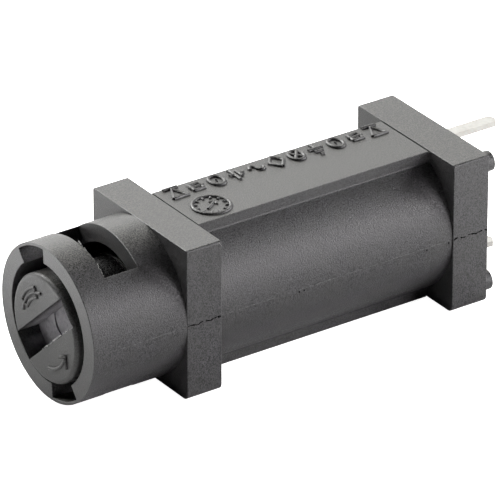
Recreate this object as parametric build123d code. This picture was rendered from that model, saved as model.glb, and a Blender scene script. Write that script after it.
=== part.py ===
from build123d import *
import math
import os

# Cartridge fuse holder for upright circuit-board mounting, lying on the side of its two square flanges.
# Millimetres. X runs along the holder: the bayonet cap faces -X and the board faces +X. The origin is on
# the axis, in the plane through the tips of the four standoff feet, where the board is. Z is up.
# Angles around the axis are measured from +Z, positive towards +Y (anticlockwise seen from the cap end).

# Body
SIDE = 14.2                 # square flanges
CORNER_R = 0.6              # lower flange corners
TOP_CORNER_R = 0.2          # upper flange corners
EDGE_R = 0.07               # flange face edges
FOOT_H = 1.0                # standoff feet
FOOT_R = 0.9
FOOT_OFFSET = 5.75          # feet from the axis, along Y, and along Z on the -Y side
FAR_FOOT_Z = 5.0            # feet from the axis along Z on the +Y side
REAR_FLANGE_T = 3.7
BARREL_L = 24.0
BARREL_R = 7.0
PLATE_HALF_W = 3.5          # flat plates along the barrel's top and bottom
PLATE_Z = 7.05
PLATE_ROOT_R = 0.2          # where the plates grow out of the barrel
GROOVE = 0.13               # witness groove across each end of the plates, wide and deep
FRONT_FLANGE_T = 3.5
COLLAR_L = 9.3
COLLAR_R = 7.1
COLLAR_EDGE_R = 0.07
SOFT_R = 0.06               # other outside edges of the moulding

REAR_X = -FOOT_H
BARREL_REAR_X = REAR_X - REAR_FLANGE_T
BARREL_FRONT_X = BARREL_REAR_X - BARREL_L
FLANGE_FRONT_X = BARREL_FRONT_X - FRONT_FLANGE_T
MOUTH_X = FLANGE_FRONT_X - COLLAR_L

# Bore and bayonet
MOUTH_R = 5.5               # front bore, through the collar and the front flange
FRONT_BORE_END_X = -28.0
REAR_BORE_R = 3.6           # rear bore, around the fuse, plunger and spring
REAR_BORE_END_X = -5.7
LIP_T = 2.8                 # depth of the bayonet lips
WINDOW_L = 3.3
WINDOW_HALF_W = 4.45
NOTCH_R = 6.8
NOTCH_MID_DEG = 22.0        # notches, and the lugs when the cap is unlocked
NOTCH_SPAN_DEG = 34.0
UNLOCK_DEG = 54.0           # turn from locked to unlocked
WINDOW_X = MOUTH_X + LIP_T

# Terminals
PIN_W = 1.2
STRIP_T = 0.5
PIN_Z = 5.85                # solder pins above and below the axis
PIN_END_X = 4.8
PIN_TAPER = 0.5
SLOT_PLAY = 0.05            # terminal slots around the strips
SIDE_STRIP_FRONT_X = -29.0
FINGER_T = 0.35
FINGER_LOW_X = -32.6
FINGER_TIP_X = -33.9
PLATE_T = 0.5               # spring seat of the rear terminal
SEAT_HALF = 3.3
LEG_HALF_W = 1.2

# Carrier (bayonet cap), locked; with the fuse it rests low in the bore, by its play
CARRIER_Y = 0.1
CARRIER_Z = -0.48
HEAD_PROUD = 0.25
HEAD_R = 4.88
HEAD_EDGE_R = 0.4
SKIRT_R = 4.45              # behind the lugs
SKIRT_END_X = -34.5
SLOT_W = 2.6
SLOT_HALF_L = 4.55
SLOT_DEPTH = 2.1
SLOT_DEG = 48.0             # slot's lean from upright when locked, clockwise seen from the cap end
GATE_R = 1.7                # round sink in the slot's floor
GATE_DEPTH = 0.12
LUG_R = 6.2
LUG_SPAN_DEG = 26.0
LUG_GAP = 0.1               # lug behind the lip
LUG_L = 1.1
HEAD_X = MOUTH_X - HEAD_PROUD
LOCKED_DEG = NOTCH_MID_DEG - UNLOCK_DEG

# Ferrule and clip
FERRULE_R = 4.0
FERRULE_WALL = 0.35
FERRULE_FRONT_X = -38.0
FERRULE_REAR_X = -29.6
FERRULE_RIM_R = 4.6
CLIP_WALL = 0.25
CLIP_FINGERS = 6
CLIP_SLIT = 0.6

# Fuse, 5 x 20 mm
FUSE_L = 20.0
END_R = 2.6
END_L = 5.6
END_WALL = 0.25
TUBE_R = 2.25
TUBE_WALL = 0.55
WIRE_R = 0.1
FUSE_FRONT_X = -37.4
FUSE_REAR_X = FUSE_FRONT_X + FUSE_L
CONTACT_GAP = 0.05          # between faces of different bodies that meet

# Plunger and spring
PLUNGER_R = 3.3
PLUNGER_T = 1.2
TAIL_R = 2.1
TAIL_L = 2.6
SPRING_R = 2.7              # mean radius
SPRING_WIRE_R = 0.28
SPRING_TURNS = 6.5
PLUNGER_X = FUSE_REAR_X + CONTACT_GAP
SPRING_FRONT_X = PLUNGER_X + PLUNGER_T
SEAT_X = REAR_BORE_END_X - PLATE_T


def block(x0, x1, y0, y1, z0, z1):
    """Box between two corners."""
    centre = Pos((x0 + x1) / 2, (y0 + y1) / 2, (z0 + z1) / 2)
    return centre * Box(x1 - x0, y1 - y0, z1 - z0)


def rod(radius, x0, x1, y=0.0, z=0.0):
    """Round bar along X."""
    return extrude(Plane.YZ.offset(x0) * Pos(y, z) * Circle(radius), amount=x1 - x0)


def turned(points):
    """Body of revolution about X from (x, radius) points."""
    return revolve(make_face(Polyline(*[(x, r, 0) for x, r in points], close=True)), axis=Axis.X)


def wedge(radius, mid_deg, span_deg, x0, x1):
    """Pie-shaped bar along X, centred at mid_deg around the axis."""
    reach = radius / math.cos(math.radians(span_deg / 2)) + 1
    corners = [(0, 0)]
    for side in (-1, 1):
        angle = math.radians(mid_deg + side * span_deg / 2)
        corners.append((reach * math.sin(angle), reach * math.cos(angle)))
    pie = make_face(Plane.YZ.offset(x0) * Polyline(*corners, close=True))
    return rod(radius, x0, x1) & extrude(pie, amount=x1 - x0, dir=(1, 0, 0))


def two_fold(shape):
    """A shape and its copy half a turn round the axis."""
    return shape + Rot(180, 0, 0) * shape


def flange(x0, x1):
    """Square plate with near-sharp upper corners, rounded lower ones and softened edges."""
    square = Rectangle(SIDE, SIDE)
    square = fillet(square.vertices().sort_by(Axis.Y)[:2], CORNER_R)
    square = fillet(square.vertices().sort_by(Axis.Y)[-2:], TOP_CORNER_R)
    plate = extrude(Plane.YZ.offset(x0) * square, amount=x1 - x0)
    return fillet(plate.faces().filter_by(Axis.X).edges(), EDGE_R)


def collar():
    """Round collar with a softened front rim."""
    ring = rod(COLLAR_R, MOUTH_X, FLANGE_FRONT_X)
    return fillet(ring.faces().sort_by(Axis.X)[0].edges(), COLLAR_EDGE_R)


def feet():
    """Four standoff feet on the rear face."""
    pegs = []
    for y, z in ((-FOOT_OFFSET, FOOT_OFFSET), (FOOT_OFFSET, FAR_FOOT_Z)):
        pegs.append(rod(FOOT_R, REAR_X - 0.2, 0, y, z))
        pegs.append(rod(FOOT_R, REAR_X - 0.2, 0, y, -z))
    return pegs


def barrel():
    """Round barrel with a flat plate along its top and bottom, from flange to flange."""
    x0 = BARREL_FRONT_X - 0.3
    x1 = BARREL_REAR_X + 0.3
    return rod(BARREL_R, x0, x1) + block(x0, x1, -PLATE_HALF_W, PLATE_HALF_W, -PLATE_Z, PLATE_Z)


def plate_grooves():
    """Witness grooves where the plates meet the flanges."""
    front = block(BARREL_FRONT_X - 0.02, BARREL_FRONT_X + GROOVE, -PLATE_HALF_W, PLATE_HALF_W, 0, SIDE)
    rear = block(BARREL_REAR_X - GROOVE, BARREL_REAR_X + 0.02, -PLATE_HALF_W, PLATE_HALF_W, 0, SIDE)
    upper = (front + rear) - block(MOUTH_X, 0, -SIDE, SIDE, -SIDE, PLATE_Z - GROOVE)
    return two_fold(upper)


def bayonet_cut():
    """Two notches through the lips and two windows behind them."""
    notches = two_fold(wedge(NOTCH_R, NOTCH_MID_DEG, NOTCH_SPAN_DEG, MOUTH_X - 1, WINDOW_X + 0.5))
    window = block(WINDOW_X, WINDOW_X + WINDOW_L, -WINDOW_HALF_W, WINDOW_HALF_W, -SIDE, SIDE)
    return notches + window


def rear_pocket():
    """Pocket for the rear terminal and its cover: square around the axis, with a leg slot below."""
    x0 = REAR_BORE_END_X - PLATE_T
    half = SEAT_HALF + SLOT_PLAY
    leg = LEG_HALF_W + SLOT_PLAY
    low = PIN_Z + STRIP_T / 2 + SLOT_PLAY
    return block(x0, REAR_X + 1, -half, half, -half, half) + block(x0, REAR_X + 1, -leg, leg, -low, 0)


def side_slot():
    """Straight slot for the side terminal, open to the front bore where its finger springs inward."""
    y = PIN_W / 2 + SLOT_PLAY
    low = PIN_Z - STRIP_T / 2 - SLOT_PLAY
    high = PIN_Z + STRIP_T / 2 + SLOT_PLAY
    through = block(FINGER_TIP_X - 0.6, REAR_X + 1, -y, y, low, high)
    mouth = block(FINGER_TIP_X - 0.6, FRONT_BORE_END_X, -y, y, REAR_BORE_R, high)
    return through + mouth


def on_radius(edge, radius, x0, x1):
    """Whether an edge lies at one distance from the axis, between two planes across it."""
    points = [edge @ 0, edge @ 0.5, edge @ 1]
    along = all(x0 - 0.001 < p.X < x1 + 0.001 for p in points)
    return along and all(abs(math.hypot(p.Y, p.Z) - radius) < 0.002 for p in points)


def soften(body):
    """Small radii on the plates' long edges, the windows' rims and the mouth."""
    long_edges = body.edges().filter_by(Axis.X)
    plates = [e for e in long_edges if abs(abs(e.center().Z) - PLATE_Z) < 0.001 and abs(e.center().X) < -MOUTH_X / 2]
    body = fillet(plates, SOFT_R)
    long_edges = body.edges().filter_by(Axis.X)
    root_z = math.sqrt(BARREL_R ** 2 - PLATE_HALF_W ** 2)
    roots = [e for e in long_edges if abs(abs(e.center().Z) - root_z) < 0.001 and e.length > BARREL_L / 2]
    body = fillet(roots, PLATE_ROOT_R)
    windows = [e for e in body.edges() if on_radius(e, COLLAR_R, WINDOW_X, WINDOW_X + WINDOW_L)]
    body = fillet(windows, SOFT_R)
    rims = [e for e in body.edges() if e.center().X < MOUTH_X + 0.001 and (e @ 0.5).X < MOUTH_X + 0.001]
    inner = [e for e in rims if math.hypot((e @ 0.5).Y, (e @ 0.5).Z) < NOTCH_R + 0.01]
    return fillet(inner, SOFT_R)


def housing():
    """One moulding: collar, flanges, barrel and feet, cut by the bore, bayonet and terminal slots."""
    body = flange(BARREL_REAR_X, REAR_X) + flange(FLANGE_FRONT_X, BARREL_FRONT_X)
    body = body + barrel() + collar()
    for peg in feet():
        body = body + peg
    body = body - rod(MOUTH_R, MOUTH_X - 1, FRONT_BORE_END_X)
    body = body - rod(REAR_BORE_R, FRONT_BORE_END_X - 0.5, SEAT_X)
    body = soften(body - bayonet_cut() - rear_pocket() - side_slot())
    return body - plate_grooves()


def rear_plug():
    """Cover that fills the rear pocket behind the rear terminal and clears its pin."""
    half = SEAT_HALF
    leg = LEG_HALF_W
    low = PIN_Z - STRIP_T / 2 - SLOT_PLAY
    cover = block(REAR_BORE_END_X, REAR_X, -half, half, -half, half)
    cover = cover + block(REAR_BORE_END_X, REAR_X, -leg, leg, -low, 0)
    return chamfer(cover.faces().sort_by(Axis.X)[-1].edges(), 0.15)


def pin(z, x0):
    """Flat solder pin along X with a tapered tip."""
    strip = block(x0, PIN_END_X, -PIN_W / 2, PIN_W / 2, z - STRIP_T / 2, z + STRIP_T / 2)
    tip = strip.faces().sort_by(Axis.X)[-1]
    sides = tip.edges().filter_by(Axis.Z)
    return chamfer(sides, PIN_TAPER, PIN_TAPER * 0.6, reference=tip)


def side_terminal():
    """Straight tinned strip with a solder pin behind and a bowed contact finger in front."""
    strip = pin(PIN_Z, SIDE_STRIP_FRONT_X)
    low = CARRIER_Z + FERRULE_R + CONTACT_GAP
    root = PIN_Z + STRIP_T / 2
    path = [(SIDE_STRIP_FRONT_X + 0.4, root - FINGER_T), (FINGER_LOW_X + 0.5, low), (FINGER_LOW_X - 0.2, low),
            (FINGER_TIP_X, low + 0.75)]
    upper = [(x, z + FINGER_T) for x, z in reversed(path)]
    outline = make_face(Polyline(*[(x, -PIN_W / 2, z) for x, z in path + upper], close=True))
    return strip + extrude(outline, amount=PIN_W, dir=(0, 1, 0))


def rear_terminal():
    """Square spring seat across the bore, a leg down the pocket and a solder pin."""
    seat = block(SEAT_X, REAR_BORE_END_X, -SEAT_HALF, SEAT_HALF, -SEAT_HALF, SEAT_HALF)
    leg = block(SEAT_X, REAR_BORE_END_X, -LEG_HALF_W, LEG_HALF_W, -PIN_Z - STRIP_T / 2, 0)
    boss = turned([(SEAT_X - 0.7, 0), (SEAT_X - 0.7, 1.7), (SEAT_X - 0.4, 2.1), (SEAT_X, 2.1), (SEAT_X, 0)])
    return seat + leg + boss + pin(-PIN_Z, SEAT_X)


def lugs():
    """Two bayonet lugs, standing behind the lips."""
    x0 = WINDOW_X + LUG_GAP
    return two_fold(wedge(LUG_R, LOCKED_DEG, LUG_SPAN_DEG, x0, x0 + LUG_L))


def tool_slot():
    """Closed-ended screwdriver slot with a round sink in its floor, leaning as it does when locked."""
    floor = HEAD_X + SLOT_DEPTH
    slot = block(HEAD_X - 1, floor, -SLOT_W / 2, SLOT_W / 2, -SLOT_HALF_L, SLOT_HALF_L)
    deeper = block(floor - 1, floor + GATE_DEPTH, -SLOT_W / 2, SLOT_W / 2, -SLOT_HALF_L, SLOT_HALF_L)
    sink = rod(GATE_R, floor - 1, floor + GATE_DEPTH) & deeper
    # Rot about X turns +Y towards +Z
    return Rot(SLOT_DEG, 0, 0) * (slot + sink)


def carrier_cap():
    """Bayonet cap: slotted head, lugs, and a skirt that holds the ferrule."""
    head = rod(HEAD_R, HEAD_X, WINDOW_X + LUG_GAP + LUG_L)
    head = fillet(head.faces().sort_by(Axis.X)[0].edges(), HEAD_EDGE_R)
    cap = head + rod(SKIRT_R, FERRULE_FRONT_X, SKIRT_END_X) + lugs() - tool_slot() - rod(FERRULE_R, FERRULE_FRONT_X, SKIRT_END_X + 1)
    slot_rims = [e for e in cap.edges().filter_by(GeomType.LINE) if abs(e.center().X - HEAD_X) < 0.001]
    cap = fillet(slot_rims, SOFT_R)
    lug_edges = [e for e in cap.edges() if on_radius(e, LUG_R, WINDOW_X, WINDOW_X + LUG_GAP + LUG_L)]
    return fillet(lug_edges, SOFT_R)


def carrier_ferrule():
    """Metal cup pressed into the skirt, with a stop rim against the skirt's end."""
    inner = FERRULE_R - FERRULE_WALL
    floor = FERRULE_FRONT_X + 0.5
    return turned([
        (FERRULE_FRONT_X, 0),
        (FERRULE_FRONT_X, FERRULE_R),
        (SKIRT_END_X, FERRULE_R),
        (SKIRT_END_X, FERRULE_RIM_R),
        (SKIRT_END_X + 0.5, FERRULE_RIM_R),
        (SKIRT_END_X + 0.5, FERRULE_R),
        (FERRULE_REAR_X, FERRULE_R),
        (FERRULE_REAR_X, inner),
        (floor, inner),
        (floor, 0),
    ])


def fuse_clip():
    """Ring of bowed spring fingers between the ferrule's wall and the fuse's end cap."""
    outer = FERRULE_R - FERRULE_WALL
    grip = END_R + CONTACT_GAP
    x0 = FERRULE_FRONT_X + 0.55
    band = x0 + 1.4
    low = x0 + 3.6
    tip = x0 + 5.0
    ring = turned([
        (x0, outer - CLIP_WALL),
        (x0, outer),
        (band, outer),
        (low, grip + CLIP_WALL),
        (tip, grip + CLIP_WALL + 0.45),
        (tip, grip + 0.45),
        (low, grip),
        (band, outer - CLIP_WALL),
    ])
    for index in range(CLIP_FINGERS // 2):
        slit = block(band, tip + 1, -CLIP_SLIT / 2, CLIP_SLIT / 2, -SIDE, SIDE)
        ring = ring - Rot(index * 360 / CLIP_FINGERS, 0, 0) * slit
    return ring


def fuse_end(x_closed, direction):
    """Pressed end cap, closed at x_closed and open along direction."""
    x_open = x_closed + direction * END_L
    x_floor = x_closed + direction * END_WALL
    edge = x_closed + direction * 0.3
    return turned([
        (x_closed, 0),
        (x_closed, END_R - 0.3),
        (edge, END_R),
        (x_open, END_R),
        (x_open, TUBE_R),
        (x_floor, TUBE_R),
        (x_floor, 0),
    ])


def fuse_tube():
    """Glass tube between the floors of the end caps."""
    x0 = FUSE_FRONT_X + END_WALL
    x1 = FUSE_REAR_X - END_WALL
    return rod(TUBE_R, x0, x1) - rod(TUBE_R - TUBE_WALL, x0 - 1, x1 + 1)


def solder(x_floor, direction):
    """Domed solder bead on the inside of an end cap's floor."""
    reach = x_floor + direction * 1.6
    near = x_floor + direction * 1.0
    radius = TUBE_R - TUBE_WALL
    return turned([
        (x_floor, 0),
        (x_floor, radius),
        (near, radius * 0.8),
        (reach, WIRE_R * 3),
        (reach, 0),
    ])


def fuse_parts():
    """The cartridge: tube, end caps, element and solder."""
    front_floor = FUSE_FRONT_X + END_WALL
    rear_floor = FUSE_REAR_X - END_WALL
    return {
        "fuse_tube": fuse_tube(),
        "fuse_end_front": fuse_end(FUSE_FRONT_X, 1),
        "fuse_end_rear": fuse_end(FUSE_REAR_X, -1),
        "fuse_wire": rod(WIRE_R, front_floor + 1.6, rear_floor - 1.6),
        "solder_front": solder(front_floor, 1),
        "solder_rear": solder(rear_floor, -1),
    }


def contact_plunger():
    """Turned contact: dished face under the fuse, tail inside the spring."""
    x0 = PLUNGER_X
    x1 = SPRING_FRONT_X
    return turned([
        (x0, 0),
        (x0, PLUNGER_R - 0.3),
        (x0 + 0.3, PLUNGER_R),
        (x1, PLUNGER_R),
        (x1, TAIL_R),
        (x1 + TAIL_L - 0.4, TAIL_R),
        (x1 + TAIL_L, TAIL_R - 0.4),
        (x1 + TAIL_L, 0),
    ])


def contact_spring():
    """Compression spring from the plunger's flange to the rear terminal's seat."""
    x0 = SPRING_FRONT_X + SPRING_WIRE_R + 0.02
    x1 = SEAT_X - SPRING_WIRE_R - 0.02
    height = x1 - x0
    path = Pos(x0, 0, 0) * Rot(0, 90, 0) * Helix(height / SPRING_TURNS, height, SPRING_R)
    section = Plane(origin=path @ 0, z_dir=path % 0) * Circle(SPRING_WIRE_R)
    return sweep(section, path=path)


def nodes():
    """Every separate piece, by name."""
    pieces = {
        "housing": housing(),
        "rear_plug": rear_plug(),
        "side_terminal": side_terminal(),
        "rear_terminal": rear_terminal(),
        "contact_spring": contact_spring(),
        "contact_plunger": contact_plunger(),
    }
    held = {"carrier_cap": carrier_cap(), "carrier_ferrule": carrier_ferrule(), "fuse_clip": fuse_clip()}
    held.update(fuse_parts())
    for name, shape in held.items():
        pieces[name] = Pos(0, CARRIER_Y, CARRIER_Z) * shape
    return pieces


os.makedirs("parts", exist_ok=True)
for name, shape in nodes().items():
    export_step(shape, f"parts/{name}.step")
    print(f"{name}: {len(shape.solids())} solid, {shape.volume:.2f} mm3")
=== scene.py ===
# %% [markdown]
# # A bayonet fuse holder for a circuit board
#
# The holder lies on the edges of its two square flanges. X runs along it: the bayonet cap faces -X, the
# board and the solder pins are at +X, and Z is up. Everything is in metres, in the frame of the solid
# model, whose pieces are loaded first. Each piece already sits in its true place, so this lesson adds what
# a solid model leaves out: grain, mould marks, plating, glass, light and a camera.

# %% Load the solid model
import math
import random

import bpy
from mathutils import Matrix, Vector


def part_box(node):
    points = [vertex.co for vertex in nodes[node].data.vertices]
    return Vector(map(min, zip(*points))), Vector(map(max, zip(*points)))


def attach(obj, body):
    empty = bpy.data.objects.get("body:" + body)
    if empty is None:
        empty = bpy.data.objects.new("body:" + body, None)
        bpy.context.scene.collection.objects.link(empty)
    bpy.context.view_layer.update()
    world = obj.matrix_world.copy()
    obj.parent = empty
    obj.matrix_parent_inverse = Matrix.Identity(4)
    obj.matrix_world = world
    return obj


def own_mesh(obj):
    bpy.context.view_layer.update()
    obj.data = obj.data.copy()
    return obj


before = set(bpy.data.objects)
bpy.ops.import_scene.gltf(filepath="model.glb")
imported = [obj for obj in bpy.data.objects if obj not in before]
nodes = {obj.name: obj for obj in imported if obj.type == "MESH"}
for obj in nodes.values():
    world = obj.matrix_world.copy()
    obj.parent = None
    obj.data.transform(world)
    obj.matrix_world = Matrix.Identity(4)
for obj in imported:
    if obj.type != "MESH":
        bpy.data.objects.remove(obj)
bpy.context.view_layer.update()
MM = 0.001
print("pieces:", sorted(nodes))

# %% [markdown]
# ## Where things are
#
# The housing is one moulding, but its landmarks are needed again and again: the mouth of the collar, the
# front flange, the barrel and the rear flange. They are worked out from the pieces' own boxes and the
# known thicknesses, so that nothing below has to repeat a position.

# %% Landmarks along the housing
housing_low, housing_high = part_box("housing")
HALF = housing_high.z
FOOT = 1.0 * MM
REAR_FLANGE = 3.7 * MM
BARREL = 24.0 * MM
FRONT_FLANGE = 3.5 * MM
rear_x = housing_high.x - FOOT
barrel_rear_x = rear_x - REAR_FLANGE
barrel_front_x = barrel_rear_x - BARREL
flange_front_x = barrel_front_x - FRONT_FLANGE
mouth_x = housing_low.x
print("mouth, front flange, barrel, rear flange in mm:",
      [round(x / MM, 2) for x in (mouth_x, flange_front_x, barrel_front_x, barrel_rear_x, rear_x)])

# %% [markdown]
# ## Camera
#
# A small part is best seen from well back through a long lens, so that its edges stay almost
# parallel. The camera is placed by an azimuth, an elevation and a distance from the point it aims at, near
# the middle of the holder. It looks at the cap end from the front left, and down on the top plate.

# %% Camera
AIM = Vector((-20.93, 0.0, 0.83)) * MM
AZIMUTH, ELEVATION, DISTANCE = -34.6, 27.8, 0.558


def direction(azimuth, elevation):
    """Unit vector from the object towards a viewer or a light."""
    a, e = math.radians(azimuth), math.radians(elevation)
    return Vector((math.sin(a) * math.cos(e), -math.cos(a) * math.cos(e), math.sin(e)))


back = direction(AZIMUTH, ELEVATION)
camera_data = bpy.data.cameras.new("camera")
camera_data.lens = 472
camera_data.clip_start, camera_data.clip_end = 0.01, 20
camera = bpy.data.objects.new("camera", camera_data)
camera.location = AIM + back * DISTANCE
camera.rotation_mode = "QUATERNION"
camera.rotation_quaternion = (-back).to_track_quat("-Z", "Y")
bpy.context.scene.collection.objects.link(camera)
bpy.context.scene.camera = camera
print("camera at", [round(v, 3) for v in camera.location])

# %% [markdown]
# ## Floor and light
#
# Black plastic shows its form by what it reflects, so soft boxes matter more than bare lamps. A strong box
# above and behind grazes the top faces and makes them the lightest. A low one at the right lights the near
# side, and three weak ones, two behind and one near, even out the corners. The front of the cap faces away
# from most of them, so a glowing white card lies on the table at its left, and a fainter one lies at the near
# side. The floor is a pale sheet. It also glows white for camera rays alone, which makes it pure white in the
# render and adds no light to the holder.

# %% Floor
scene = bpy.context.scene
scene.view_settings.view_transform = "Standard"
scene.view_settings.look = "None"


def link(name, mesh):
    """A new object for a mesh, linked into the scene."""
    made = bpy.data.objects.new(name, mesh)
    scene.collection.objects.link(made)
    return made


floor_mesh = bpy.data.meshes.new("floor")
FLOOR_REACH = 3.0
floor_z = housing_low.z - 0.02 * MM
corners = [(x * FLOOR_REACH, y * FLOOR_REACH, floor_z) for x, y in ((-1, -1), (1, -1), (1, 1), (-1, 1))]
floor_mesh.from_pydata(corners, [], [(0, 1, 2, 3)])
floor = link("floor", floor_mesh)
floor_paint = bpy.data.materials.new("pale_floor")
floor_paint.use_nodes = True
floor_tree = floor_paint.node_tree
floor_inputs = floor_tree.nodes["Principled BSDF"].inputs
floor_inputs["Base Color"].default_value = (0.84, 0.84, 0.84, 1)
floor_inputs["Roughness"].default_value = 0.9
floor_inputs["Emission Color"].default_value = (1, 1, 1, 1)
seen = floor_tree.nodes.new("ShaderNodeLightPath").outputs["Is Camera Ray"]
floor_tree.links.new(seen, floor_inputs["Emission Strength"])
floor_mesh.materials.append(floor_paint)
print("floor at z =", round(floor_z / MM, 2), "mm")

# %% Soft boxes
BOX_DISTANCE = 0.8


def soft_box(name, azimuth, elevation, size, power, colour=(1, 1, 1)):
    """Square area light aimed at the middle of the holder."""
    lamp = bpy.data.lights.new(name, "AREA")
    lamp.shape = "SQUARE"
    lamp.size = size
    lamp.energy = power
    lamp.color = colour
    place = bpy.data.objects.new(name, lamp)
    way = direction(azimuth, elevation)
    place.location = AIM + way * BOX_DISTANCE
    place.rotation_mode = "QUATERNION"
    place.rotation_quaternion = (-way).to_track_quat("-Z", "Y")
    scene.collection.objects.link(place)


soft_box("box_behind_high", 190, 35, 0.5, 14.0, (1.0, 1.0, 0.98))
soft_box("box_behind_right", 145, 25, 0.6, 2.1)
soft_box("box_behind_middle", 165, 30, 0.5, 1.7)
soft_box("box_right", 70, 15, 0.4, 9.3)
soft_box("box_near", 32, 18, 0.3, 2.9, (1.0, 0.96, 1.0))
world = bpy.data.worlds.new("studio")
world.use_nodes = True
world.node_tree.nodes["Background"].inputs["Color"].default_value = (1, 1, 1, 1)
world.node_tree.nodes["Background"].inputs["Strength"].default_value = 0.02
scene.world = world

# %% White cards on the table


def card(name, x0, x1, y0, y1, strength):
    """Glowing white card that lies on the table between two corners in mm."""
    sheet = bpy.data.meshes.new(name)
    z = floor_z + 0.01 * MM
    corners = [(x * MM, y * MM, z) for x, y in ((x0, y0), (x1, y0), (x1, y1), (x0, y1))]
    sheet.from_pydata(corners, [], [(0, 1, 2, 3)])
    white = bpy.data.materials.new(name)
    white.use_nodes = True
    glow = white.node_tree.nodes["Principled BSDF"].inputs
    glow["Emission Color"].default_value = (1, 1, 1, 1)
    glow["Emission Strength"].default_value = strength
    sheet.materials.append(white)
    link(name, sheet)


card("card_left", -150, -50, 10, 110, 3.3)
card("card_near", 10, 160, -160, -20, 0.9)
print("two cards on the table")

# %% [markdown]
# ## Node helpers
#
# Every finish here is made of nodes. A few short helpers keep the cells readable: one adds a node and sets
# its inputs by name, one joins two sockets, and one opens a new node group with its own inputs and outputs.

# %% Node helpers


def add(tree, kind, settings=None, **inputs):
    """New node of a kind, with node settings and input values given by name."""
    node = tree.nodes.new(kind)
    for key, value in (settings or {}).items():
        setattr(node, key, value)
    for key, value in inputs.items():
        name = key.replace("_", " ")
        if isinstance(value, bpy.types.NodeSocket):
            tree.links.new(value, node.inputs[name])
        else:
            node.inputs[name].default_value = value
    return node


def maths(tree, operation, first, second=0.0, clamp=False):
    """Math node; its inputs are numbers or sockets."""
    node = tree.nodes.new("ShaderNodeMath")
    node.operation, node.use_clamp = operation, clamp
    for slot, value in enumerate((first, second)):
        if isinstance(value, bpy.types.NodeSocket):
            tree.links.new(value, node.inputs[slot])
        else:
            node.inputs[slot].default_value = value
    return node.outputs[0]


def ramp(tree, value, low, high, out_low=0.0, out_high=1.0):
    """Map Range from one span to another, clamped."""
    node = add(tree, "ShaderNodeMapRange", From_Min=low, From_Max=high, To_Min=out_low, To_Max=out_high)
    tree.links.new(value, node.inputs["Value"])
    return node.outputs["Result"]


def blend_colour(tree, amount, first, second):
    """Mix of two colours, each a socket or a tuple; 0, 6 and 7 are the colour mix's own inputs."""
    node = add(tree, "ShaderNodeMix", {"data_type": "RGBA"})
    for slot, value in ((0, amount), (6, first), (7, second)):
        if isinstance(value, bpy.types.NodeSocket):
            tree.links.new(value, node.inputs[slot])
        else:
            node.inputs[slot].default_value = value
    return node.outputs[2]


def new_group(name, inputs, outputs):
    """Shader node group with named sockets; returns its tree, input node and output node."""
    tree = bpy.data.node_groups.new(name, "ShaderNodeTree")
    for label, kind, value in inputs:
        socket = tree.interface.new_socket(label, in_out="INPUT", socket_type=kind)
        socket.default_value = value
    for label, kind in outputs:
        tree.interface.new_socket(label, in_out="OUTPUT", socket_type=kind)
    return tree, tree.nodes.new("NodeGroupInput"), tree.nodes.new("NodeGroupOutput")


def new_material(name):
    """Material with a Principled shader; returns the material, its tree and the shader."""
    material = bpy.data.materials.new(name)
    material.use_nodes = True
    return material, material.node_tree, material.node_tree.nodes["Principled BSDF"]


print("node helpers ready")

# %% [markdown]
# ## Moulded grain
#
# The mould was cut by sparks, which leaves a fine matt pebble on glass-filled plastic. Two noises make it:
# a fine one for the pebble and a broader one for slow patches where the plastic flowed and cooled
# differently. A third, sharp one makes painted glints: a few grains are painted paler in the colour, standing
# for grains that catch the light. A mould can be cut deeper where the part draws straight out of it, so level
# faces get a stronger pebble than the upright ones. The group puts out a colour, a roughness and a height,
# and each plastic gives it its own base colour and depth.

# %% Group: moulded grain
GRAIN, grain_in, grain_out = new_group(
    "moulded_grain_and_painted_glints",
    [("Base", "NodeSocketColor", (0.02, 0.02, 0.02, 1)), ("Tip", "NodeSocketColor", (0.05, 0.05, 0.05, 1)),
     ("Grains per metre", "NodeSocketFloat", 5200.0),
     ("Patchiness", "NodeSocketFloat", 0.3), ("Roughness", "NodeSocketFloat", 0.55)],
    [("Color", "NodeSocketColor"), ("Roughness", "NodeSocketFloat"), ("Height", "NodeSocketFloat")])
where = GRAIN.nodes.new("ShaderNodeTexCoord").outputs["Object"]
pebble = add(GRAIN, "ShaderNodeTexNoise", Vector=where, Scale=grain_in.outputs["Grains per metre"],
             Detail=3.0, Roughness=0.6).outputs["Fac"]
patches = add(GRAIN, "ShaderNodeTexNoise", Vector=where, Scale=420.0, Detail=3.0,
              Roughness=0.55).outputs["Fac"]
# painted glints: grains near these cells are painted paler, standing for grains that catch the light
painted_glint_cells = add(GRAIN, "ShaderNodeTexVoronoi", Vector=where, Scale=5200.0).outputs["Distance"]
painted_glints = ramp(GRAIN, painted_glint_cells, 0.0, 0.24, 1.0, 0.0)
lighter = blend_colour(GRAIN, ramp(GRAIN, pebble, 0.38, 0.64),
                       grain_in.outputs["Base"], grain_in.outputs["Tip"])
patchy = maths(GRAIN, "MULTIPLY", ramp(GRAIN, patches, 0.35, 0.65), grain_in.outputs["Patchiness"])
patched = blend_colour(GRAIN, patchy, lighter, (0.045, 0.045, 0.04, 1))
facing = add(GRAIN, "ShaderNodeSeparateXYZ", Vector=GRAIN.nodes.new("ShaderNodeTexCoord").outputs["Normal"])
level = ramp(GRAIN, facing.outputs["Z"], 0.85, 0.97)
deep = blend_colour(GRAIN, ramp(GRAIN, pebble, 0.42, 0.6),
                    (0.001, 0.001, 0.001, 1), (0.095, 0.093, 0.086, 1))
cut = blend_colour(GRAIN, level, patched, deep)
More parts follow.
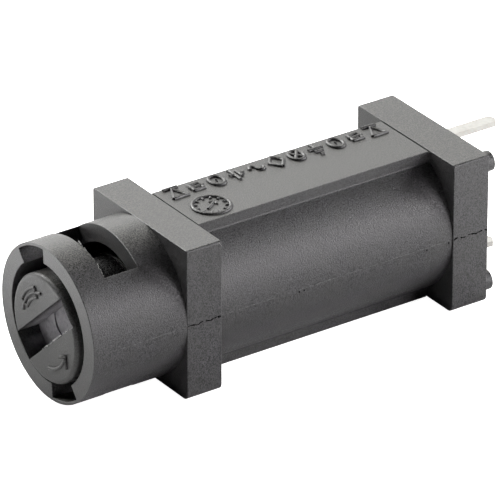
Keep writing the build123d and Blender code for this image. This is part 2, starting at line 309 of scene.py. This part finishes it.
# the painted glints are mixed into the colour here
colour_with_painted_glints = blend_colour(GRAIN, maths(GRAIN, "MULTIPLY", painted_glints, 0.3), cut, (0.2, 0.2, 0.205, 1))
GRAIN.links.new(colour_with_painted_glints, grain_out.inputs["Color"])
rough = maths(GRAIN, "ADD", grain_in.outputs["Roughness"], ramp(GRAIN, pebble, 0.38, 0.62, -0.2, 0.2))
GRAIN.links.new(rough, grain_out.inputs["Roughness"])
GRAIN.links.new(pebble, grain_out.inputs["Height"])
print("group", GRAIN.name, "has", len(GRAIN.nodes), "nodes")

# %% [markdown]
# ## Black plastic
#
# The housing and the cap are the same kind of plastic from two moulds. The cap's is a little darker and
# duller. A Bump node turns the grain's height into normals; its distance is a few hundredths of a
# millimetre, because the bumps are real ones at the object's own size. Thin flash and torn edges scatter more
# light, so they are the same plastic made paler. The seam's bead is painted nearly black and matt, as painted
# shade for the open crack.

# %% Plastic materials


def grained_plastic(name, base, tip, per_metre, patchiness, roughness, gloss, depth):
    """Moulded plastic with the grain group."""
    material, tree, shader = new_material(name)
    group = add(tree, "ShaderNodeGroup", {"node_tree": GRAIN})
    group.inputs["Base"].default_value = (*base, 1)
    group.inputs["Tip"].default_value = (*tip, 1)
    group.inputs["Grains per metre"].default_value = per_metre
    group.inputs["Patchiness"].default_value = patchiness
    group.inputs["Roughness"].default_value = roughness
    bump = add(tree, "ShaderNodeBump", Height=group.outputs["Height"], Strength=1.0, Distance=depth)
    tree.links.new(group.outputs["Color"], shader.inputs["Base Color"])
    tree.links.new(group.outputs["Roughness"], shader.inputs["Roughness"])
    tree.links.new(bump.outputs["Normal"], shader.inputs["Normal"])
    shader.inputs["Specular IOR Level"].default_value = gloss
    return material


housing_black = grained_plastic("housing_plastic", (0.004, 0.004, 0.004), (0.068, 0.066, 0.070),
                                8800, 0.25, 0.48, 0.5, 0.03 * MM)
cap_black = grained_plastic("cap_plastic", (0.005, 0.005, 0.005), (0.060, 0.059, 0.061),
                            8800, 0.25, 0.52, 0.38, 0.028 * MM)
flash_plastic = grained_plastic("flash_plastic", (0.02, 0.02, 0.02), (0.12, 0.12, 0.12),
                                4000, 0.2, 0.45, 0.4, 0.01 * MM)
torn_plastic = grained_plastic("torn_plastic", (0.03, 0.03, 0.03), (0.4, 0.4, 0.38),
                               3000, 0.1, 0.5, 0.4, 0.01 * MM)
# painted shade: the seam's plastic is nearly black and matt, standing for the shadow in the open seam
painted_seam_shade = grained_plastic("painted_seam_shade", (0.001, 0.001, 0.001), (0.004, 0.004, 0.004),
                               4000, 0.0, 0.9, 0.05, 0.005 * MM)
torn_cap = grained_plastic("torn_cap_plastic", (0.05, 0.05, 0.05), (0.32, 0.32, 0.32),
                           4000, 0.1, 0.5, 0.5, 0.01 * MM)
plastics = (housing_black, cap_black, flash_plastic, torn_plastic, painted_seam_shade, torn_cap)
print("plastics:", [paint.name for paint in plastics])

# %% [markdown]
# The floor and walls of the cap's slot are painted paler and faintly violet, broken up by a noise: painted
# light where light reaches into the slot. The skirt behind the lugs was drawn by a polished core, so it is
# glossier, and it is painted nearly black: painted shade for the dark inside of the windows. Both are zones
# of one solid, so a mask on the object's own coordinates picks them: the slot is near the face and inside a
# radius, the skirt is everything further back.

# %% Group: zones of the cap
cap_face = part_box("carrier_cap")[0].x
ferrule_low, ferrule_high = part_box("carrier_ferrule")
cap_axis = Vector((0, (ferrule_low.y + ferrule_high.y) / 2, (ferrule_low.z + ferrule_high.z) / 2))
ZONES, zones_in, zones_out = new_group(
    "cap_zones",
    [("Color", "NodeSocketColor", (0.02, 0.02, 0.02, 1)), ("Roughness", "NodeSocketFloat", 0.5)],
    [("Color", "NodeSocketColor"), ("Roughness", "NodeSocketFloat")])
where = ZONES.nodes.new("ShaderNodeTexCoord").outputs["Object"]
place = add(ZONES, "ShaderNodeSeparateXYZ", Vector=where)
across_y = maths(ZONES, "SUBTRACT", place.outputs["Y"], cap_axis.y)
across_z = maths(ZONES, "SUBTRACT", place.outputs["Z"], cap_axis.z)
squares = maths(ZONES, "ADD", maths(ZONES, "MULTIPLY", across_y, across_y),
                maths(ZONES, "MULTIPLY", across_z, across_z))
from_axis = maths(ZONES, "SQRT", squares)
depth_in = maths(ZONES, "SUBTRACT", place.outputs["X"], cap_face)
inside = ramp(ZONES, from_axis, 4.5 * MM, 4.6 * MM, 1.0, 0.0)
in_slot = maths(ZONES, "MULTIPLY", inside, ramp(ZONES, depth_in, 0.3 * MM, 1.2 * MM))
# painted light: the slot's floor and walls are painted paler and faintly violet, broken up by this noise
slot_light_noise = add(ZONES, "ShaderNodeTexNoise", Vector=where, Scale=1500.0, Detail=4.0,
             Roughness=0.65).outputs["Fac"]
painted_slot_light = maths(ZONES, "MULTIPLY", in_slot, ramp(ZONES, slot_light_noise, 0.3, 0.6, 0.5, 1.0))
# painted shade: the skirt behind the lugs is painted nearly black; it is also made glossier
skirt = ramp(ZONES, depth_in, 2.9 * MM, 3.1 * MM)
colour_with_painted_slot_light = blend_colour(ZONES, painted_slot_light, zones_in.outputs["Color"], (0.30, 0.29, 0.31, 1))
skirt_shade_or_strip_lines = blend_colour(ZONES, skirt, colour_with_painted_slot_light, (0.003, 0.003, 0.003, 1))
ZONES.links.new(skirt_shade_or_strip_lines, zones_out.inputs["Color"])
smoother = ramp(ZONES, skirt, 0.0, 1.0, 0.0, -0.2)
rough = maths(ZONES, "ADD", zones_in.outputs["Roughness"], smoother, True)
ZONES.links.new(rough, zones_out.inputs["Roughness"])
cap_tree = cap_black.node_tree
cap_shader = cap_tree.nodes["Principled BSDF"]
grain_node = next(node for node in cap_tree.nodes if node.type == "GROUP")
zone_node = add(cap_tree, "ShaderNodeGroup", {"node_tree": ZONES})
for label, socket in (("Color", "Base Color"), ("Roughness", "Roughness")):
    cap_tree.links.new(grain_node.outputs[label], zone_node.inputs[label])
    cap_tree.links.new(zone_node.outputs[label], cap_shader.inputs[socket])
print("group", ZONES.name, "has", len(ZONES.nodes), "nodes")

# %% [markdown]
# ## Metals, glass and solder
#
# The terminals and the ferrule are brass with a bright tin plate, which is never quite even: it has soft
# pale clouds and fine rolling lines along the strip. The spring is plated steel wire, the plunger is
# turned brass, the clip is bronze, and the fuse's ends are nickel. They share one group of cloudy plate.
# Bright tin against a white ground would burn out, so its colour is lowered for camera rays only, and every
# other ray meets the full plate. That is a choice of looks: no real plate does it.

# %% Group: cloudy plate
PLATE, plate_in, plate_out = new_group(
    "cloudy_plate",
    [("Metal", "NodeSocketColor", (0.8, 0.79, 0.77, 1)), ("Cloud", "NodeSocketColor", (0.6, 0.58, 0.55, 1)),
     ("Roughness", "NodeSocketFloat", 0.3)],
    [("Color", "NodeSocketColor"), ("Roughness", "NodeSocketFloat"), ("Height", "NodeSocketFloat")])
where = PLATE.nodes.new("ShaderNodeTexCoord").outputs["Object"]
clouds = add(PLATE, "ShaderNodeTexNoise", Vector=where, Scale=900.0, Detail=4.0, Roughness=0.6).outputs["Fac"]
skirt_shade_or_strip_lines = add(PLATE, "ShaderNodeMapping", Vector=where, Scale=(0.03, 1.0, 1.0)).outputs["Vector"]
lines = add(PLATE, "ShaderNodeTexNoise", Vector=skirt_shade_or_strip_lines, Scale=9000.0, Detail=2.0).outputs["Fac"]
colour = blend_colour(PLATE, ramp(PLATE, clouds, 0.35, 0.75),
                      plate_in.outputs["Metal"], plate_in.outputs["Cloud"])
PLATE.links.new(colour, plate_out.inputs["Color"])
rough = maths(PLATE, "ADD", plate_in.outputs["Roughness"], ramp(PLATE, clouds, 0.3, 0.8, -0.05, 0.15))
PLATE.links.new(rough, plate_out.inputs["Roughness"])
PLATE.links.new(lines, plate_out.inputs["Height"])
print("group", PLATE.name, "has", len(PLATE.nodes), "nodes")

# %% Metal materials


def plated(name, metal, cloud, roughness, depth, dimmed=0.0):
    """Metal finish with the cloudy plate group; camera rays see it darker by the share dimmed."""
    material, tree, shader = new_material(name)
    group = add(tree, "ShaderNodeGroup", {"node_tree": PLATE})
    group.inputs["Metal"].default_value = (*metal, 1)
    group.inputs["Cloud"].default_value = (*cloud, 1)
    group.inputs["Roughness"].default_value = roughness
    bump = add(tree, "ShaderNodeBump", Height=group.outputs["Height"], Strength=0.4, Distance=depth)
    seen = add(tree, "ShaderNodeLightPath").outputs["Is Camera Ray"]
    passed = maths(tree, "SUBTRACT", 1.0, maths(tree, "MULTIPLY", seen, dimmed))
    colour = blend_colour(tree, passed, (0, 0, 0, 1), group.outputs["Color"])
    tree.links.new(colour, shader.inputs["Base Color"])
    tree.links.new(group.outputs["Roughness"], shader.inputs["Roughness"])
    tree.links.new(bump.outputs["Normal"], shader.inputs["Normal"])
    shader.inputs["Metallic"].default_value = 1.0
    return material


tin = plated("tin_plate", (0.80, 0.79, 0.75), (0.68, 0.66, 0.61), 0.34, 0.01 * MM, dimmed=0.52)
steel = plated("spring_steel", (0.62, 0.62, 0.64), (0.48, 0.48, 0.5), 0.28, 0.005 * MM)
brass = plated("turned_brass", (0.83, 0.66, 0.36), (0.66, 0.5, 0.27), 0.25, 0.008 * MM)
bronze = plated("clip_bronze", (0.80, 0.60, 0.42), (0.62, 0.45, 0.3), 0.3, 0.006 * MM)
nickel = plated("fuse_nickel", (0.78, 0.76, 0.70), (0.62, 0.6, 0.55), 0.22, 0.006 * MM)
soft_solder = plated("soft_solder", (0.66, 0.66, 0.67), (0.5, 0.5, 0.52), 0.42, 0.02 * MM)
print("metals:", tin.name, steel.name, brass.name, bronze.name, nickel.name, soft_solder.name)

# %% Glass
fuse_glass, tree, shader = new_material("fuse_glass")
shader.inputs["Transmission Weight"].default_value = 1.0
shader.inputs["IOR"].default_value = 1.5
smears = add(tree, "ShaderNodeTexNoise", Vector=tree.nodes.new("ShaderNodeTexCoord").outputs["Object"],
             Scale=700.0, Detail=3.0).outputs["Fac"]
tree.links.new(ramp(tree, smears, 0.3, 0.8, 0.02, 0.12), shader.inputs["Roughness"])
tint = blend_colour(tree, smears, (0.96, 0.99, 0.98, 1), (0.90, 0.95, 0.94, 1))
tree.links.new(tint, shader.inputs["Base Color"])
print("glass:", fuse_glass.name)

# %% Give every solid its finish
FINISH = {
    "housing": housing_black, "rear_plug": housing_black, "carrier_cap": cap_black,
    "side_terminal": tin, "rear_terminal": tin, "carrier_ferrule": tin,
    "contact_spring": steel, "fuse_wire": steel, "contact_plunger": brass, "fuse_clip": bronze,
    "fuse_end_front": nickel, "fuse_end_rear": nickel, "fuse_tube": fuse_glass,
    "solder_front": soft_solder, "solder_rear": soft_solder,
}
for name, solid in nodes.items():
    solid.data.materials.clear()
    solid.data.materials.append(FINISH[name])
print("finished", len(nodes), "solids")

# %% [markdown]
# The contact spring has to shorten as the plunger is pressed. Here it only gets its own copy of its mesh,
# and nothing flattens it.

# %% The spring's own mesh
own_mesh(nodes["contact_spring"])

# %% [markdown]
# ## Beads of plastic
#
# Much of what makes a moulding look real is thin plastic that stands up from it: flash along the parting
# line, burrs where a slide tore the edge, and raised marks cut into the mould. All of them are rounded beads,
# so a curve with a round bevel makes them: each point has its own thickness, and a random one gives flash its
# broken look. The curve is made a mesh, half sunk in the face it grows from.

# %% Bead helper
random.seed(7)


def around(x, radius, degrees):
    """Point at a distance from the holder's axis; degrees run from +Z towards +Y."""
    turn = math.radians(degrees)
    return Vector((x, radius * math.sin(turn), radius * math.cos(turn)))


def as_mesh(path, name):
    """Mesh object made of a bevelled curve's object, which is removed."""
    bpy.context.view_layer.update()
    depsgraph = bpy.context.evaluated_depsgraph_get()
    mesh = bpy.data.meshes.new_from_object(path.evaluated_get(depsgraph))
    bpy.data.objects.remove(path)
    mesh.name = name
    mesh.shade_smooth()
    return link(name, mesh)


def bead(name, runs, radius, body, finish):
    """Rounded bead along runs of (point, share of the radius), as one piece on a body."""
    curve = bpy.data.curves.new(name, "CURVE")
    curve.dimensions = "3D"
    curve.bevel_depth = radius
    curve.bevel_resolution = 2
    curve.use_fill_caps = True
    for run in runs:
        spline = curve.splines.new("POLY")
        spline.points.add(len(run) - 1)
        for point, (place, share) in zip(spline.points, run):
            point.co = (*place, 1)
            point.radius = share
    piece = as_mesh(link(name + "_path", curve), name)
    piece.data.materials.clear()
    piece.data.materials.append(finish)
    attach(piece, body)
    print(name, "has", len(piece.data.polygons), "faces")


GAP_SHARE, LUMP_SHARE = 0.08, 1.5


def broken(low, high, gap=0.15, lump=0.08):
    """Thickness of a piece of flash: mostly between low and high, with a chance of a gap or a lump."""
    chance = random.random()
    if chance < gap:
        return GAP_SHARE
    return random.uniform(low, high) * (LUMP_SHARE if chance > 1 - lump else 1.0)


print("bead helper ready")

# %% [markdown]
# ## Parting line
#
# The two halves of the mould met in the level plane through the axis, so a line of flash runs down both
# sides. It was trimmed, which leaves it in dashes. On each side one run lies on the collar, behind the
# bayonet's lip, and one on the barrel, which stands a little inside the collar's radius.

# %% Parting flash
COLLAR_R = housing_high.y
BARREL_R = 7.0 * MM
LIP = 2.8 * MM
FLASH_R, FLASH_STEP, END_GAP = 0.045 * MM, 0.3 * MM, 0.08 * MM
window_x = mouth_x + LIP
runs = []
for side in (-1, 1):
    for x0, x1, out in ((window_x, flange_front_x, COLLAR_R), (barrel_front_x, barrel_rear_x, BARREL_R)):
        steps = round((x1 - x0) / FLASH_STEP)
        run = []
        for i in range(steps + 1):
            x = x0 + END_GAP + (x1 - x0 - 2 * END_GAP) * i / steps
            wander = random.uniform(-0.015, 0.015) * MM
            run.append((Vector((x, side * (out - 0.012 * MM), wander)), broken(0.45, 0.95)))
        runs.append(run)
bead("parting_flash", runs, FLASH_R, "holder", flash_plastic)

# %% [markdown]
# On the flanges' sides the two halves met a hair apart, so there the line is an open seam, a crack in shade
# that wanders a little. A thin black bead, sunk almost flush, stands for it as painted shade. Four short pits
# beside the line on the barrel are made the same way, as black beads of painted shade.

# %% Open seam on the flanges
SEAM_R, SEAM_STEPS, SEAM_END_GAP = 0.065 * MM, 18, 0.1 * MM
PITS_X = (-20.8 * MM, -20.3 * MM, -7.5 * MM, -5.2 * MM)
runs = []
for side in (-1, 1):
    for x0, x1 in ((flange_front_x, barrel_front_x), (barrel_rear_x, rear_x)):
        run = []
        for i in range(SEAM_STEPS + 1):
            x = x0 + SEAM_END_GAP + (x1 - x0 - 2 * SEAM_END_GAP) * i / SEAM_STEPS
            wander = (0.07 * math.sin(i * 0.9) + random.uniform(-0.04, 0.04)) * MM
            run.append((Vector((x, side * (COLLAR_R - 0.03 * MM), wander)), broken(0.6, 1.3, gap=0.1)))
        runs.append(run)
    for x in PITS_X:
        runs.append([(Vector((x + 0.12 * MM * i, side * (BARREL_R - 0.05 * MM), -0.2 * MM)), share)
                     for i, share in enumerate((0.3, 1.7, 0.3))])
# painted shade: black beads for the shadow in the open seam and in the pits
bead("parting_seam", runs, SEAM_R, "holder", painted_seam_shade)

# %% [markdown]
# ## Torn edges
#
# The slides that formed the two windows dragged the plastic as they drew out. One half of each window's
# front edge therefore carries a ragged, whitened burr, with a small curl where it ends. The front flange's
# near upper corner has a curl of the same kind.

# %% Window burrs
WINDOW_EDGE, TEAR_STEP = 38, 1.15
TEAR_R = 0.038 * MM
runs = []
for half_turn in (0, 180):
    run = []
    for i in range(31):
        degrees = -WINDOW_EDGE + i * TEAR_STEP
        lift = random.uniform(-0.01, 0.03) * MM
        back_step = random.uniform(-0.03, 0.07) * MM
        run.append((around(window_x + back_step, COLLAR_R - 0.02 * MM + lift, degrees + half_turn),
                    broken(0.5, 1.25, gap=0.1, lump=0.15)))
    runs.append(run)
    curl = []
    for i in range(5):
        out = COLLAR_R + (0.02 + 0.05 * math.sin(i)) * MM
        curl.append((around(window_x + 0.05 * MM * i, out, -8 + 1.5 * i + half_turn), 1.6 - 0.22 * i))
    runs.append(curl)
corner = Vector((barrel_front_x - 0.25 * MM, -HALF + 0.05 * MM, HALF - 0.12 * MM))
runs.append([(corner + Vector((0.08 * i, 0.03 * math.cos(i * 2), -0.11 * i)) * MM, 1.8 - 0.35 * i)
             for i in range(5)])
bead("window_burrs", runs, TEAR_R, "holder", torn_plastic)

# %% [markdown]
# Each slide also left a fine witness ridge that runs round the collar, from the window's corner to the
# parting line, where the slide ended.

# %% Witness ridges
RIDGE_X = window_x + 0.15 * MM
RIDGE_R, RIDGE_STEP = 0.022 * MM, 2.1
runs = []
for half_turn in (0, 180):
    for sign in (-1, 1):
        run = []
        for i in range(25):
            degrees = sign * (WINDOW_EDGE + 1 + i * RIDGE_STEP) + half_turn
            run.append((around(RIDGE_X, COLLAR_R - 0.008 * MM, degrees), broken(0.4, 0.9)))
        runs.append(run)
bead("witness_ridges", runs, RIDGE_R, "holder", flash_plastic)

# %% [markdown]
# ## Raised marks on the plate
#
# Marks are cut into the mould and stand up from the part as rounded strokes. The row holds plain circuit
# symbols, among them a fuse, a wave for alternating current, a cell, a lamp and an earth sign. Each symbol is
# a few strokes in a unit square, and a loop lays them in a row.

# %% Symbols as strokes


def arc(cu, cv, radius, start, end, steps):
    """Points of an arc in a symbol's unit square."""
    points = []
    for i in range(steps + 1):
        turn = math.radians(start + (end - start) * i / steps)
        points.append((cu + radius * math.cos(turn), cv + radius * math.sin(turn)))
    return points


RING = arc(0.5, 0.5, 0.45, 0, 360, 16)
SYMBOLS = {
    "fuse": [[(0.0, 0.5), (1.0, 0.5)],
             [(0.15, 0.25), (0.85, 0.25), (0.85, 0.75), (0.15, 0.75), (0.15, 0.25)]],
    "wave": [arc(0.27, 0.5, 0.23, 180, 0, 8) + arc(0.73, 0.5, 0.23, 180, 360, 8)],
    "cell": [[(0.0, 0.5), (0.35, 0.5)], [(0.35, 0.0), (0.35, 1.0)], [(0.68, 0.25), (0.68, 0.75)],
             [(0.68, 0.5), (1.0, 0.5)]],
    "lamp": [RING, [(0.2, 0.2), (0.8, 0.8)], [(0.2, 0.8), (0.8, 0.2)]],
    "point": [RING, [(0.47, 0.5), (0.53, 0.5)]],
    "earth": [[(0.5, 1.0), (0.5, 0.55)], [(0.0, 0.55), (1.0, 0.55)], [(0.2, 0.28), (0.8, 0.28)],
              [(0.4, 0.0), (0.6, 0.0)]],
    "diode": [[(0.0, 0.1), (0.5, 0.9), (1.0, 0.1), (0.0, 0.1)], [(0.0, 1.0), (1.0, 1.0)]],
    "diamond": [[(0.5, 0.0), (1.0, 0.5), (0.5, 1.0), (0.0, 0.5), (0.5, 0.0)]],
}
print("symbols:", sorted(SYMBOLS))

# %% Row of symbols on the top plate
PLATE_TOP = 7.05 * MM
MARK_HEIGHT, MARK_WIDTH, MARK_STEP = 1.95 * MM, 1.45 * MM, 2.06 * MM
MARK_R, MARK_LIFT = 0.18 * MM, 0.03 * MM
ROW = ["diode", "fuse", "point", "cell", "wave", "diamond", "lamp", "earth", "point", "fuse", "diode"]
runs = []
for i, symbol in enumerate(ROW):
    corner = Vector((barrel_front_x + 1.0 * MM + i * MARK_STEP, 1.25 * MM, PLATE_TOP + MARK_LIFT))
    for line in SYMBOLS[symbol]:
        runs.append([(corner + Vector((u * MARK_WIDTH, v * MARK_HEIGHT, 0)), 1.0) for u, v in line])
bead("plate_symbols", runs, MARK_R, "holder", housing_black)

# %% [markdown]
# Beside the row stands a mould-date dial, the little clock that a toolmaker sets in a mould: a ring with
# twelve short ticks and a pointer.

# %% Mould-date dial
dial = Vector((barrel_front_x + 2.95 * MM, -1.25 * MM, PLATE_TOP + 0.02 * MM))
DIAL_R, DIAL_BEAD_R = 1.65 * MM, 0.165 * MM


def on_dial(radius, degrees):
    """Point of the dial at a distance and a direction from its middle."""
    turn = math.radians(degrees)
    return dial + Vector((radius * math.cos(turn), radius * math.sin(turn), 0))


runs = [[(on_dial(DIAL_R, 10 * i), 1.0) for i in range(37)]]
for hour in range(12):
    runs.append([(on_dial(DIAL_R * 0.72, 30 * hour), 0.75), (on_dial(DIAL_R * 0.88, 30 * hour), 0.75)])
runs.append([(on_dial(DIAL_R * 0.45, 215), 0.9), (on_dial(DIAL_R * 0.45, 35), 0.9)])
runs.append([(on_dial(DIAL_R * share, degrees), 0.9) for share, degrees in ((0.3, 75), (0.5, 35), (0.3, -5))])
bead("date_dial", runs, DIAL_BEAD_R, "holder", housing_black)

# %% [markdown]
# ## Raised marks on the cap
#
# A curved fuse sign stands on the cap's upper half and an arrow on the lower one, which points the way the
# cap opens. The cap sits a little low in the collar, so its marks are placed from the cap's own axis, and
# they ride on the carrier.

# %% Cap marks
CAP_MARK_PROUD, CAP_MARK_R, CAP_ARC_STEPS = 0.02 * MM, 0.15 * MM, 14


def on_cap(radius, degrees):
    """Point of a run just off the cap's face, at a distance in mm from the cap's own axis."""
    return around(cap_face - CAP_MARK_PROUD, radius * MM, degrees) + cap_axis, 1.0


def cap_arc(radius, start, end):
    """Run along the cap's face at one distance from its axis."""
    return [on_cap(radius, start + (end - start) * i / CAP_ARC_STEPS) for i in range(CAP_ARC_STEPS + 1)]


fuse_outline = cap_arc(3.65, 22, 66) + cap_arc(2.75, 66, 22) + [on_cap(3.65, 22)]
fuse_lead = cap_arc(3.2, 8, 80)
arrow_shaft = cap_arc(3.45, 190, 246)
arrow_head = [on_cap(4.05, 236), on_cap(3.45, 252), on_cap(2.85, 236)]
runs = [fuse_outline, fuse_lead, arrow_shaft, arrow_head]
bead("cap_marks", runs, CAP_MARK_R, "carrier", cap_black)

# %% [markdown]
# A screwdriver has slipped in the slot more than once, and left its lower edge ragged. The edge lies beside
# the slot's middle line, which leans 48 degrees from upright.

# %% Ragged slot edge
SLOT_HALF_W = 1.3 * MM
BURR_START, BURR_STEP, BURR_SHIFT = -1.6, 0.165, 0.05 * MM
SLOT_BURR_R = 0.08 * MM
lean = math.radians(48)
along = Vector((0, -math.sin(lean), math.cos(lean)))
across = Vector((0, -math.cos(lean), -math.sin(lean)))
run = []
for i in range(34):
    jitter = random.uniform(-BURR_SHIFT, BURR_SHIFT)
    middle = cap_axis + Vector((cap_face, 0, 0)) + along * (BURR_START + i * BURR_STEP) * MM
    run.append((middle + across * (SLOT_HALF_W + jitter), broken(0.4, 1.2, gap=0.25, lump=0.2)))
bead("slot_burr", [run], SLOT_BURR_R, "carrier", torn_cap)
